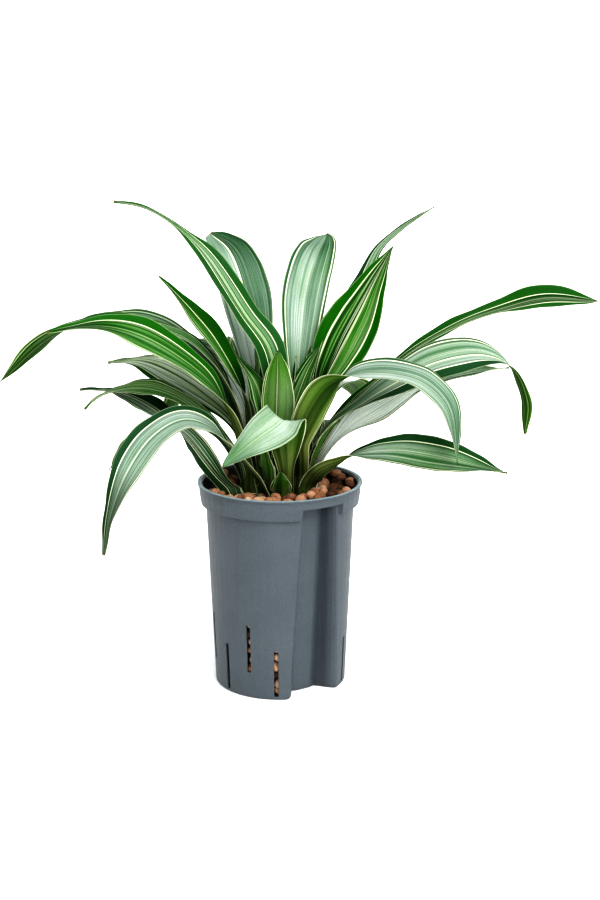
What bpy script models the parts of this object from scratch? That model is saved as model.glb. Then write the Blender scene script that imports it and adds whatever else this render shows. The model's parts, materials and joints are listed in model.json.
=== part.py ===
"""Potted dracaena: three striped-leaf shoots in a hydroculture pot filled with clay pellets.

Metres, +Z up. The origin is the centre of the pot's base, the plain front of the pot faces -Y.
"""
import math
import random

import bmesh
import bpy
import numpy as np
from mathutils import Matrix, Vector

MM = 0.001

# Pot: a 150 mm rim and 190 mm height is the standard 15/19 culture pot
POT_HEIGHT = 190 * MM
BASE_RADIUS = 60 * MM
WALL_TOP_RADIUS = 67.5 * MM
WALL_TOP_Z = 170 * MM
BAND_FOOT_Z = 171 * MM
BAND_FOOT_RADIUS = 72 * MM
BAND_TOP_RADIUS = 73.5 * MM
LIP_RADIUS = 75 * MM
LIP_HEIGHT = 1.8 * MM
WALL = 1.6 * MM
FLOOR = 3 * MM
FOOT_ROUND = 2 * MM

# Flute: the upright recess in the wall that leaves room for a water gauge
FLUTE_ANGLE = -57
FLUTE_ROOF_Z = 181 * MM
FLUTE_BASE_HALF = 26
FLUTE_TOP_HALF = 16
FLUTE_BASE_DEPTH = 20 * MM
FLUTE_TOP_DEPTH = 15 * MM
FLUTE_SHOULDER = 0.32
FLUTE_STATIONS = (-1.06, -1, -0.95, -0.9, -0.84, -0.78, -0.7, -0.3, 0.3, 0.7, 0.78, 0.84, 0.9, 0.95, 1, 1.06)
PLAIN_STATIONS = 46

# Slits: upright slots in two heights, set alike on both sides of the flute
SLIT_WIDTH = 3.8 * MM
SLIT_FIRST = 36.5
SLIT_COUNT = 13
SLIT_PITCH = (360 - 2 * SLIT_FIRST) / (SLIT_COUNT - 1)
SLIT_LOW = (3.6 * MM, 47 * MM)
SLIT_HIGH = (25 * MM, 70 * MM)
SLIT_REACH = 14 * MM
DRAIN_COUNT = 5
DRAIN_PITCH = 60
DRAIN_SIZE = (18 * MM, 3.2 * MM)
DRAIN_RADIUS = 36 * MM

# Clay bed: pellets that fill the pot, with the top layer in relief
SEAT_GAP = 0.3 * MM
BED_GAP = 0.6 * MM
BED_TOP = 179 * MM
BED_SLOPE = 0.03
PELLET_RADIUS = 6.4 * MM
PELLET_PITCH = 13.4 * MM
PELLET_JITTER = 1.5 * MM
PELLET_SPREAD = 1.15
PELLET_SINK = 4.5 * MM
PELLET_SINK_RADII = (34 * MM, 54 * MM)
PELLET_SEED = 7

# Stems: short canes, thickest at the clay, with roots spread through the pellets
STEM_RADIUS = 11.5 * MM
STEM_TIP_RADIUS = 2.6 * MM
STEM_NECK_Z = 182 * MM
STEM_TOP_Z = 240 * MM
STEM_FOOT_Z = 120 * MM
ROOT_COUNT = 4
ROOT_RADIUS = 2.4 * MM
ROOT_SPREAD = 16 * MM
ROOT_DROP = 70 * MM
ROOT_FAN = 40
CANE_SIDES = 12
ROOT_SIDES = 5
STEMS = {
    "left": (-24 * MM, 8 * MM),
    "right": (22 * MM, 6 * MM),
    "front": (1 * MM, -19 * MM),
}

# Leaves: a thin blade on a midrib, channelled at the stem and nearly flat further out
LEAF_THICKNESS = 0.8 * MM
LEAF_SECTIONS = 13
LEAF_STRIPS = 4
CLASP_FOLD = 44
PETIOLE_SHARE = 0.14
BLADE_FOLD = 17
EDGE_WAVE = 1.2 * MM
EDGE_WAVE_TURNS = 3

# Each leaf: stem, height and azimuth of its foot on the stem, blade width, bulge, roll of the blade about
# its midrib near the foot, in the middle and at the tip, then the midrib as (azimuth, reach, height) about
# the stem, in degrees and millimetres. A bulge above 1 sets the broad part further out.
LEAVES = {
    "leaf_left_hanging": ("front", 182, 172, 37, 1, (-25, 30, 5),
        [(175, 28, 203), (179, 49, 229), (183, 64, 246), (191, 88, 255), (198, 118, 244), (201, 142, 217),
         (203, 160, 180), (204, 168, 146)]),
    "leaf_left_low": ("left", 182, 218, 30, 0.7, (30, 20, 0),
        [(216, 21, 185), (207, 32, 193), (197, 43, 209), (184, 57, 227), (172, 80, 243), (167, 105, 256),
         (166, 130, 264), (166, 166, 265)]),
    "leaf_left_lower_curl": ("left", 194, 186, 30, 1, (3, 15, 0),
        [(183, 16, 214), (180, 30, 233), (179, 58, 258), (178, 86, 271), (176, 115, 272), (175, 138, 265),
         (175, 155, 252)]),
    "leaf_left_short": ("left", 202, 116, 34, 1, (7, 35, 5),
        [(128, 17, 226), (145, 31, 247), (150, 58, 265), (151, 87, 278), (152, 118, 287), (152, 156, 284)]),
    "leaf_left_back_droop": ("left", 190, 98, 38, 1, (0, 0, 0),
        [(104, 22, 226), (114, 66, 264), (118, 130, 258), (120, 188, 208)]),
    "leaf_left_back_low": ("left", 186, 134, 34, 1, (0, 0, 0),
        [(137, 23, 203), (139, 42, 222), (142, 78, 234), (143, 128, 220), (144, 176, 172)]),
    "leaf_left_back_arch": ("left", 205, 55, 38, 1, (0, 0, 0),
        [(76, 16, 246), (90, 52, 290), (94, 112, 300), (96, 182, 252)]),
    "leaf_left_broad": ("left", 198, 230, 40, 1, (8, 42, 5),
        [(214, 24, 250), (209, 43, 283), (206, 72, 309), (205, 108, 331), (205, 142, 341), (206, 192, 340)]),
    "leaf_left_long": ("left", 214, 190, 36, 1.2, (1, 5, -50),
        [(180, 14, 250), (178, 24, 276), (177, 41, 303), (176, 66, 322), (176, 130, 334), (178, 180, 321),
         (180, 228, 280)]),
    "leaf_left_dark": ("left", 206, 156, 30, 1, (2, 10, 0),
        [(158, 21, 250), (160, 47, 290), (162, 95, 321), (163, 145, 330), (164, 190, 320)]),
    "leaf_left_bright": ("left", 221, 235, 21, 1, (8, 40, 5),
        [(205, 9, 268), (170, 33, 316), (160, 58, 341), (158, 92, 371)]),
    "leaf_left_pale": ("left", 211, 92, 32, 1, (4, 20, 0),
        [(108, 16, 248), (121, 36, 277), (131, 66, 298), (138, 118, 310)]),
    "leaf_left_upright": ("left", 218, 60, 48, 1.3, (0, 0, 0),
        [(64, 13, 262), (88, 20, 315), (104, 37, 360), (110, 66, 391), (116, 92, 404)]),
    "leaf_left_heart": ("left", 226, 350, 20, 1, (0, 0, 0),
        [(0, 5, 265), (20, 6, 300), (40, 8, 325)]),
    "leaf_right_low": ("right", 184, -70, 36, 1.3, (35, -45, -5),
        [(-60, 27, 202), (-38, 39, 211), (-29, 51, 218), (-27, 88, 226), (-26, 126, 225), (-25, 193, 215)]),
    "leaf_right_pale": ("right", 192, 4, 36, 1, (-9, -45, -5),
        [(8, 18, 208), (8, 40, 236), (9, 76, 260), (10, 100, 271), (12, 150, 282), (13, 196, 284)]),
    "leaf_right_sliver": ("right", 196, -50, 18, 1, (-4, -20, 0),
        [(-48, 18, 218), (-46, 30, 238), (-44, 44, 252)]),
    "leaf_right_arching": ("right", 194, -112, 42, 0.85, (-3, -15, 0),
        [(-99, 27, 215), (-97, 39, 232), (-88, 46, 251), (-79, 48, 267), (-66, 52, 284), (-54, 59, 293),
         (-44, 72, 298), (-36, 100, 299), (-34, 125, 293), (-32, 145, 273), (-31, 154, 222)]),
    "leaf_right_hooked": ("right", 211, -14, 38, 1, (-10, -50, 45),
        [(-10, 24, 240), (-9, 53, 262), (-8, 84, 282), (-7, 118, 300), (-6, 160, 307), (-6, 183, 298),
         (-6, 198, 268), (-6, 199, 236)]),
    "leaf_right_long": ("right", 203, 34, 36, 2, (4, -8, -38),
        [(22, 42, 252), (16, 74, 280), (15, 98, 301), (14, 150, 328), (13, 184, 339), (13, 230, 348),
         (13, 283, 343)]),
    "leaf_right_back_droop": ("right", 190, 92, 38, 1, (0, 0, 0),
        [(74, 24, 222), (70, 62, 260), (68, 122, 256), (66, 186, 206)]),
    "leaf_right_back_arch": ("right", 199, 122, 38, 1, (0, 0, 0),
        [(106, 22, 240), (100, 52, 284), (96, 112, 297), (92, 182, 258)]),
    "leaf_right_back_low": ("right", 185, 38, 34, 1, (0, 0, 0),
        [(46, 22, 202), (62, 42, 218), (75, 78, 227), (82, 122, 210), (84, 158, 168)]),
    "leaf_right_behind": ("right", 215, 62, 20, 0.9, (-4, -20, 0),
        [(50, 16, 250), (45, 44, 302), (45, 80, 354), (46, 117, 384), (47, 153, 406), (48, 200, 422)]),
    "leaf_right_upright": ("right", 223, -25, 45, 1, (-7, -36, -5),
        [(-18, 11, 262), (-4, 28, 306), (2, 46, 343), (4, 64, 376), (5, 80, 402)]),
    "leaf_centre_upright": ("right", 219, 140, 43, 1.3, (0, 0, 0),
        [(122, 10, 262), (102, 17, 310), (88, 34, 354), (80, 62, 386), (77, 98, 402)]),
    "leaf_right_heart": ("right", 229, 40, 18, 1, (0, 0, 0),
        [(40, 5, 262), (40, 6, 290), (40, 8, 312)]),
    "leaf_front_scale": ("front", 182, -90, 19, 0.5, (0, 0, 0),
        [(-90, 15, 191), (-90, 18, 200), (-90, 20, 208)]),
    "leaf_front_dark": ("front", 187, 212, 20, 0.6, (0, 0, 0),
        [(219, 16, 204), (225, 20, 218), (230, 25, 232)]),
    "leaf_front_folded": ("front", 190, -62, 38, 0.85, (4, 18, 12),
        [(-74, 19, 213), (-80, 24, 237), (-83, 29, 253), (-86, 34, 258), (-97, 40, 254), (-117, 50, 242),
         (-136, 70, 220)]),
    "leaf_front_left_arch": ("front", 199, 160, 28, 1, (4, 20, 5),
        [(160, 15, 240), (160, 23, 280), (160, 42, 306)]),
    "leaf_front_right_young": ("front", 200, 68, 24, 1, (-4, -20, 0),
        [(54, 15, 245), (30, 24, 285), (18, 40, 320)]),
    "leaf_front_rising": ("front", 210, 105, 33, 0.8, (4, 20, 0),
        [(115, 9, 262), (140, 13, 312), (160, 33, 343), (163, 76, 403), (163, 120, 433), (163, 155, 440)]),
    "leaf_front_inner": ("front", 214, -4, 18, 1, (0, 0, 0),
        [(-4, 8, 250), (2, 12, 285), (12, 14, 308)]),
    "leaf_front_young": ("front", 206, -112, 31, 1, (0, 0, 0),
        [(-112, 11, 240), (-108, 10, 280), (-104, 9, 315)]),
}

# Where the leaf is narrow and where it is broad, and how it turns, along its length
WIDTH_STOPS = (0, 0.18, 0.34, 0.5, 0.64, 0.78, 0.89, 0.96, 1)
WIDTH_SHARES = (0.42, 0.43, 0.7, 0.97, 1, 0.78, 0.48, 0.22, 0.05)
ROLL_STOPS = (0.08, 0.14, 0.4, 0.62)
FOLD_STOPS = (0, 0.1, 0.3, 0.55, 1)
FOLD_SHARES = (1, 0.82, 0.36, 0.08, 0)


def clear_scene():
    for item in list(bpy.data.objects):
        bpy.data.objects.remove(item, do_unlink=True)


def material(name, colour, roughness):
    made = bpy.data.materials.new(name)
    made.use_nodes = True
    shader = made.node_tree.nodes["Principled BSDF"]
    shader.inputs["Base Color"].default_value = (*colour, 1)
    shader.inputs["Roughness"].default_value = roughness
    shader.inputs["Metallic"].default_value = 0
    return made


def object_from(name, points, faces, look=None):
    mesh = bpy.data.meshes.new(name)
    mesh.from_pydata([tuple(p) for p in points], [], faces)
    mesh.validate()
    if look:
        mesh.materials.append(look)
    made = bpy.data.objects.new(name, mesh)
    bpy.context.scene.collection.objects.link(made)
    return made


def smooth_step(value):
    value = min(max(value, 0), 1)
    return value * value * (3 - 2 * value)


def mix(low, high, share):
    return low + (high - low) * share


def apply_boolean(target, tools, operation):
    """Join or cut the target with every tool at once, then drop the tools."""
    group = bpy.data.collections.new(target.name + "_tools")
    for tool in tools:
        group.objects.link(tool)
    modifier = target.modifiers.new(operation.lower(), "BOOLEAN")
    modifier.operation = operation
    modifier.operand_type = "COLLECTION"
    modifier.collection = group
    modifier.solver = "EXACT"
    modifier.use_self = True
    seen = bpy.context.evaluated_depsgraph_get()
    result = bpy.data.meshes.new_from_object(target.evaluated_get(seen))
    target.modifiers.clear()
    target.data = result
    for tool in tools:
        bpy.data.objects.remove(tool, do_unlink=True)
    bpy.data.collections.remove(group)


def keep_main_body(target):
    """Drop loose scraps and the skins of sealed hollows, which leaves the hollows solid."""
    body = bmesh.new()
    body.from_mesh(target.data)
    body.faces.ensure_lookup_table()
    seen, islands = set(), []
    for first in body.faces:
        if first.index in seen:
            continue
        seen.add(first.index)
        island, ahead = [], [first]
        while ahead:
            face = ahead.pop()
            island.append(face)
            for edge in face.edges:
                for other in edge.link_faces:
                    if other.index not in seen:
                        seen.add(other.index)
                        ahead.append(other)
        islands.append(island)
    islands.sort(key=len)
    scraps = [face for island in islands[:-1] for face in island]
    bmesh.ops.delete(body, geom=scraps, context="FACES")
    body.to_mesh(target.data)
    body.free()


def wall_radius(z):
    return mix(BASE_RADIUS, WALL_TOP_RADIUS, z / WALL_TOP_Z)


def flute_half(z):
    """Half of the flute's width at a height, in degrees round the pot."""
    return mix(FLUTE_BASE_HALF, FLUTE_TOP_HALF, z / FLUTE_ROOF_Z)


def flute_depth(station, z):
    depth = mix(FLUTE_BASE_DEPTH, FLUTE_TOP_DEPTH, z / FLUTE_ROOF_Z)
    return depth * smooth_step((1 - abs(station)) / FLUTE_SHOULDER)


def stations():
    """The ring's places: the flute's own, then even ones round the plain rest."""
    flute = [("flute", s) for s in FLUTE_STATIONS]
    return flute + [("plain", (i + 1) / (PLAIN_STATIONS + 1)) for i in range(PLAIN_STATIONS)]


def ring(z, inset=0.0, plain_radius=None, roofed=False, plain_z=None):
    """One ring of the pot's wall. Above the wall proper, plain_radius is the band's own radius.

    A roofed ring runs past the flute without dipping in. plain_z is its height away from the flute.
    """
    last = FLUTE_STATIONS[-1]
    half = flute_half(min(z, FLUTE_ROOF_Z)) + math.degrees(1.3 * inset / BASE_RADIUS)
    points = []
    for kind, value in stations():
        in_flute = kind == "flute" and abs(value) <= 1
        if kind == "flute":
            angle = FLUTE_ANGLE + value * half
        else:
            angle = FLUTE_ANGLE + last * half + value * (360 - 2 * last * half)
        radius = wall_radius(z) - inset
        if plain_radius is not None and (roofed or not in_flute):
            radius = plain_radius - inset
        elif in_flute:
            radius -= flute_depth(value, z)
        height = z if in_flute or plain_z is None else plain_z
        turn = math.radians(angle)
        points.append(Vector((radius * math.cos(turn), radius * math.sin(turn), height)))
    return points


def skin(rings):
    """Closed body through the rings, with a fan of faces at each end."""
    count = len(rings[0])
    points = [p for one in rings for p in one]
    faces = []
    for level in range(len(rings) - 1):
        for i in range(count):
            j = (i + 1) % count
            low, high = level * count, (level + 1) * count
            faces.append((low + i, low + j, high + j, high + i))
    first_hub = len(points)
    points.append(Vector((0, 0, rings[0][0].z)))
    points.append(Vector((0, 0, rings[-1][0].z)))
    top = (len(rings) - 1) * count
    for i in range(count):
        j = (i + 1) % count
        faces.append((first_hub, j, i))
        faces.append((first_hub + 1, top + i, top + j))
    return points, faces


def split_quads(target):
    """Split bent four-sided faces along their shorter diagonal."""
    body = bmesh.new()
    body.from_mesh(target.data)
    bmesh.ops.triangulate(body, faces=body.faces, quad_method="SHORT_EDGE")
    body.to_mesh(target.data)
    body.free()


def upright_box(size, centre, angle):
    """A box with its first side along the angle, seen from above."""
    body = bmesh.new()
    bmesh.ops.create_cube(body, size=1)
    place = Matrix.Translation(centre) @ Matrix.Rotation(math.radians(angle), 4, "Z")
    bmesh.ops.transform(body, matrix=place @ Matrix.Diagonal((*size, 1)), verts=body.verts)
    mesh = bpy.data.meshes.new("slot")
    body.to_mesh(mesh)
    body.free()
    made = bpy.data.objects.new("slot", mesh)
    bpy.context.scene.collection.objects.link(made)
    return made


def make_pot():
    band_inner = BAND_FOOT_RADIUS - WALL
    lip_z = POT_HEIGHT - LIP_HEIGHT
    ledge = FLUTE_ROOF_Z + WALL
    rings = [
        ring(0, FOOT_ROUND),
        ring(FOOT_ROUND),
        ring(WALL_TOP_Z / 3),
        ring(WALL_TOP_Z * 2 / 3),
        ring(WALL_TOP_Z),
        ring(BAND_FOOT_Z, plain_radius=BAND_FOOT_RADIUS),
        ring(FLUTE_ROOF_Z, plain_radius=BAND_TOP_RADIUS),
        ring(FLUTE_ROOF_Z, plain_radius=BAND_TOP_RADIUS, roofed=True, plain_z=ledge),
        ring(lip_z, plain_radius=BAND_TOP_RADIUS, roofed=True),
        ring(lip_z, plain_radius=LIP_RADIUS, roofed=True),
        ring(POT_HEIGHT, plain_radius=LIP_RADIUS, roofed=True),
        ring(POT_HEIGHT, plain_radius=BAND_FOOT_RADIUS, roofed=True),
        ring(lip_z, plain_radius=band_inner, roofed=True),
        ring(ledge, plain_radius=band_inner, roofed=True),
        ring(ledge, WALL, plain_radius=BAND_FOOT_RADIUS, plain_z=FLUTE_ROOF_Z),
        ring(BAND_FOOT_Z + WALL, WALL, plain_radius=BAND_FOOT_RADIUS),
        ring(WALL_TOP_Z + WALL, WALL),
        ring(WALL_TOP_Z * 2 / 3, WALL),
        ring(WALL_TOP_Z / 3, WALL),
        ring(FLOOR, WALL),
    ]
    points, faces = skin(rings)
    pot = object_from("pot", points, faces, material("anthracite_plastic", (0.045, 0.055, 0.068), 0.55))
    split_quads(pot)
    cutters = []
    for i in range(SLIT_COUNT):
        angle = FLUTE_ANGLE + SLIT_FIRST + SLIT_PITCH * i
        from_flute = min(i, SLIT_COUNT - 1 - i)
        foot, head = SLIT_LOW if from_flute % 2 == 0 else SLIT_HIGH
        middle = (foot + head) / 2
        turn = math.radians(angle)
        out = wall_radius(middle)
        centre = Vector((out * math.cos(turn), out * math.sin(turn), middle))
        cutters.append(upright_box((SLIT_REACH, SLIT_WIDTH, head - foot), centre, angle))
    for i in range(DRAIN_COUNT):
        angle = FLUTE_ANGLE + DRAIN_PITCH * (i + 1)
        turn = math.radians(angle)
        centre = Vector((DRAIN_RADIUS * math.cos(turn), DRAIN_RADIUS * math.sin(turn), 0))
        cutters.append(upright_box((*DRAIN_SIZE, 4 * FLOOR), centre, angle))
    apply_boolean(pot, cutters, "DIFFERENCE")
    pot.data.shade_smooth()
    pot.data.set_sharp_from_angle(angle=math.radians(30))
    return pot


def tube(name, centres, radii, sides):
    """A closed tube through the centres, square to its run at each."""
    rows = []
    for i, centre in enumerate(centres):
        ahead = centres[min(i + 1, len(centres) - 1)] - centres[max(i - 1, 0)]
        across = ahead.cross(Vector((0, 1, 0.01))).normalized()
        other = ahead.cross(across).normalized()
        turns = [math.tau * k / sides for k in range(sides)]
        rows.append([centre + radii[i] * (math.cos(t) * across + math.sin(t) * other) for t in turns])
    points = [p for row in rows for p in row]
    faces = []
    for level in range(len(rows) - 1):
        for k in range(sides):
            j = (k + 1) % sides
            low, high = level * sides, (level + 1) * sides
            faces.append((low + k, low + j, high + j, high + k))
    faces.append(tuple(reversed(range(sides))))
    faces.append(tuple(range(len(points) - sides, len(points))))
    made = object_from(name, points, faces)
    body = bmesh.new()
    body.from_mesh(made.data)
    bmesh.ops.recalc_face_normals(body, faces=body.faces)
    body.to_mesh(made.data)
    body.free()
    return made


def stem_radius(z):
    if z <= STEM_NECK_Z:
        return STEM_RADIUS
    return mix(STEM_RADIUS, STEM_TIP_RADIUS, (z - STEM_NECK_Z) / (STEM_TOP_Z - STEM_NECK_Z))


def stem_body(side, grow, top):
    """A cane with its roots, or with grow the hole that holds it in the clay."""
    x, y = STEMS[side]
    levels = [STEM_FOOT_Z, STEM_NECK_Z, mix(STEM_NECK_Z, top, 0.5), top]
    centres = [Vector((x, y, z)) for z in levels]
    if grow:
        centres[0] = centres[0] - Vector((0, 0, grow))
        radii = [STEM_RADIUS + grow] * len(levels)
    else:
        radii = [stem_radius(z) for z in levels]
    cane = tube("stem_" + side, centres, radii, CANE_SIDES)
    away = math.atan2(y, x)
    roots = []
    for i in range(ROOT_COUNT):
        turn = away + math.radians(ROOT_FAN) * (i - (ROOT_COUNT - 1) / 2)
        out = Vector((math.cos(turn), math.sin(turn), 0))
        start = Vector((x, y, STEM_FOOT_Z + STEM_RADIUS)) + out * STEM_RADIUS / 2
        shares = (0, 0.3, 0.65, 1)
        line = [start + out * ROOT_SPREAD * s - Vector((0, 0, ROOT_DROP * s * s)) for s in shares]
        radii = [ROOT_RADIUS * (1 - 0.6 * s) + grow for s in shares]
        if grow:
            line[-1] = line[-1] - Vector((0, 0, grow))
        roots.append(tube("root", line, radii, ROOT_SIDES))
    apply_boolean(cane, roots, "UNION")
    return cane


def make_stems():
    look = material("green_cane", (0.2, 0.26, 0.08), 0.6)
    for side in STEMS:
        cane = stem_body(side, 0, STEM_TOP_Z)
        cane.data.materials.clear()
        cane.data.materials.append(look)
        cane.data.shade_smooth()
        cane.data.set_sharp_from_angle(angle=math.radians(50))


def bed_height(x):
    return BED_TOP + BED_SLOPE * x


def pellet(centre, chance):
    body = bmesh.new()
    radius = PELLET_RADIUS * chance.uniform(2 - PELLET_SPREAD, PELLET_SPREAD)
    bmesh.ops.create_icosphere(body, subdivisions=1, radius=radius)
    turn = Matrix.Rotation(chance.uniform(0, math.tau), 4, Vector((chance.random(), chance.random(), 1)))
    squash = Matrix.Diagonal((1, chance.uniform(0.8, 1), chance.uniform(0.75, 0.95), 1))
    bmesh.ops.transform(body, matrix=Matrix.Translation(centre) @ turn @ squash, verts=body.verts)
    mesh = bpy.data.meshes.new("pellet")
    body.to_mesh(mesh)
    body.free()
    made = bpy.data.objects.new("pellet", mesh)
    bpy.context.scene.collection.objects.link(made)
    return made


def pellet_places():
    """A jittered triangular grid inside the wall, kept off the flute and lower round the stems."""
    chance = random.Random(PELLET_SEED)
    places = []
    edge = WALL_TOP_RADIUS - WALL - PELLET_RADIUS * PELLET_SPREAD - 2 * BED_GAP
    count = int(edge / PELLET_PITCH) + 1
    for row in range(-count - 1, count + 2):
        for column in range(-count - 1, count + 2):
            x = (column + 0.5 * (row % 2)) * PELLET_PITCH + chance.uniform(-1, 1) * PELLET_JITTER
            y = row * PELLET_PITCH * math.sqrt(0.75) + chance.uniform(-1, 1) * PELLET_JITTER
            radius = math.hypot(x, y)
            near, far = PELLET_SINK_RADII
            sink = PELLET_SINK * (1 - smooth_step((radius - near) / (far - near)))
            z = bed_height(x) - sink + chance.uniform(-0.6, 1) * PELLET_JITTER
            off = (math.degrees(math.atan2(y, x)) - FLUTE_ANGLE + 180) % 360 - 180
            inside = edge
            if abs(off) < 1.5 * FLUTE_TOP_HALF:
                inside = edge - FLUTE_TOP_DEPTH
            if radius < inside:
                places.append(Vector((x, y, z)))
    return places, chance


def make_clay():
    inset = WALL + BED_GAP
    rings = [ring(FLOOR + SEAT_GAP, inset)]
    rings += [ring(z, inset) for z in (WALL_TOP_Z / 3, WALL_TOP_Z * 2 / 3, WALL_TOP_Z - BED_GAP, BED_TOP)]
    for point in rings[-1]:
        point.z = bed_height(point.x)
    points, faces = skin(rings)
    look = material("fired_clay", (0.42, 0.17, 0.07), 0.9)
    bed = object_from("clay_bed", points, faces, look)
    split_quads(bed)
    places, chance = pellet_places()
    apply_boolean(bed, [pellet(place, chance) for place in places], "UNION")
    keep_main_body(bed)
    holes = [stem_body(side, SEAT_GAP * 1.3, STEM_TOP_Z) for side in STEMS]
    apply_boolean(bed, holes, "DIFFERENCE")
    keep_main_body(bed)
    bed.data.materials.clear()
    bed.data.materials.append(look)
    return bed


def smooth_path(stops, count):
    """Even places along the smooth curve through the stops, with the curve's direction at each."""
    stops = np.array(stops)
    steps = np.linalg.norm(np.diff(stops, axis=0), axis=1) ** 0.5
    knots = np.concatenate([[0], np.cumsum(steps)])
    runs = np.gradient(stops, knots, axis=0)
    fine = []
    for i in range(len(stops) - 1):
        span = knots[i + 1] - knots[i]
        for s in np.linspace(0, 1, 24, endpoint=i == len(stops) - 2):
            fine.append((2 * s**3 - 3 * s**2 + 1) * stops[i] + (s**3 - 2 * s**2 + s) * span * runs[i]
                        + (3 * s**2 - 2 * s**3) * stops[i + 1] + (s**3 - s**2) * span * runs[i + 1])
    fine = np.array(fine)
    far = np.concatenate([[0], np.cumsum(np.linalg.norm(np.diff(fine, axis=0), axis=1))])
    even = np.linspace(0, far[-1], count)
    places = np.stack([np.interp(even, far, fine[:, k]) for k in range(3)], axis=1)
    runs = np.gradient(places, even, axis=0)
    return places, runs / np.linalg.norm(runs, axis=1)[:, None]


def leaf_midrib(stem, foot_z, foot_azimuth, route):
    """The midrib's stops in metres, from the foot on the stem outwards."""
    x, y = STEMS[stem]
    foot_reach = stem_radius(foot_z * MM) + SEAT_GAP + LEAF_THICKNESS
    stops = [(foot_azimuth, foot_reach, foot_z * MM)]
    stops += [(azimuth, reach * MM, z * MM) for azimuth, reach, z in route]
    placed = []
    for azimuth, reach, z in stops:
        turn = math.radians(azimuth)
        placed.append((x + reach * math.cos(turn), y + reach * math.sin(turn), z))
    return placed, foot_reach


def leaf_roll(rolls, share):
    """The blade's roll at a share of its length, in radians."""
    foot, middle, tip = rolls
    settled, start, end, last = ROLL_STOPS
    roll = mix(foot * smooth_step(share / settled), middle, smooth_step((share - start) / (end - start)))
    return math.radians(mix(roll, tip, smooth_step((share - last) / (1 - last))))


def leaf_grid(stem, foot_z, foot_azimuth, width, bulge, rolls, route):
    """Upper and lower face of a leaf, as rows of points from foot to tip."""
    stops, foot_reach = leaf_midrib(stem, foot_z, foot_azimuth, route)
    places, runs = smooth_path(stops, LEAF_SECTIONS + 1)
    start = math.radians(foot_azimuth)
    side = np.array([math.sin(start), -math.cos(start), 0])
    axis = np.array([*STEMS[stem], 0])
    upper, lower = [], []
    for i, (place, run) in enumerate(zip(places, runs)):
        share = i / LEAF_SECTIONS
        out = place - axis
        out[2] = 0
        level = np.cross(out / np.linalg.norm(out), (0, 0, 1))
        guide = mix(side, level, smooth_step(share * 3))
        across = guide - run * guide.dot(run)
        across /= np.linalg.norm(across)
        up = np.cross(across, run)
        spin = leaf_roll(rolls, share)
        across, up = (across * math.cos(spin) + up * math.sin(spin),
                      up * math.cos(spin) - across * math.sin(spin))
        clasp = math.radians(CLASP_FOLD)
        half = width * MM / 2 * np.interp(share**bulge, WIDTH_STOPS, WIDTH_SHARES)
        half = mix(foot_reach * clasp, half, smooth_step(share / PETIOLE_SHARE))
        fold = mix(math.radians(BLADE_FOLD), clasp, np.interp(share, FOLD_STOPS, FOLD_SHARES))
        curve = half / fold
        top_row, under_row = [], []
        for k in range(LEAF_STRIPS + 1):
            lean = 2 * k / LEAF_STRIPS - 1
            bend = lean * fold
            ripple = math.sin(math.tau * EDGE_WAVE_TURNS * share + 2 * lean)
            wave = EDGE_WAVE * lean * lean * ripple * smooth_step(2 * share)
            spot = place + across * curve * math.sin(bend) + up * (curve * (1 - math.cos(bend)) + wave)
            face = up * math.cos(bend) - across * math.sin(bend)
            top_row.append(spot + face * LEAF_THICKNESS / 2)
            under_row.append(spot - face * LEAF_THICKNESS / 2)
        upper.append(top_row)
        lower.append(under_row)
    return upper, lower


def make_leaf(name, row, look):
    upper, lower = leaf_grid(*row)
    rows, wide = LEAF_SECTIONS + 1, LEAF_STRIPS + 1
    points = [p for line in upper for p in line] + [p for line in lower for p in line]
    under = rows * wide
    faces = []
    for i in range(rows - 1):
        for k in range(wide - 1):
            a, b = i * wide + k, i * wide + k + 1
            c, d = a + wide, b + wide
            if k < LEAF_STRIPS / 2:
                pairs = ((a, b, d), (a, d, c))
            else:
                pairs = ((a, b, c), (b, d, c))
            for one in pairs:
                faces.append(one)
                faces.append(tuple(under + v for v in reversed(one)))
    border = [(k, k + 1) for k in range(wide - 1)]
    border += [(i * wide + wide - 1, (i + 1) * wide + wide - 1) for i in range(rows - 1)]
    border += [((rows - 1) * wide + k + 1, (rows - 1) * wide + k) for k in reversed(range(wide - 1))]
    border += [((i + 1) * wide, i * wide) for i in reversed(range(rows - 1))]
    for a, b in border:
        faces.append((b, a, under + a))
        faces.append((b, under + a, under + b))
    leaf = object_from(name, points, faces, look)
    leaf.data.shade_smooth()
    leaf.data.set_sharp_from_angle(angle=math.radians(60))
    return leaf


def make_leaves():
    look = material("striped_leaf", (0.13, 0.26, 0.07), 0.45)
    for name, row in LEAVES.items():
        make_leaf(name, row, look)


clear_scene()
make_pot()
make_clay()
make_stems()
make_leaves()
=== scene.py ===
"""Potted dracaena: the looks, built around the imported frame.

The leaves repeat the part's midribs at a finer step, with ribs, thin margins and stripes. The clay is
made of separate pellets. Metres, +Z up, the plain front of the pot faces -Y.
"""
import json
import math
import random

import bmesh
import bpy
import numpy as np
from mathutils import Matrix, Vector, noise

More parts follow.
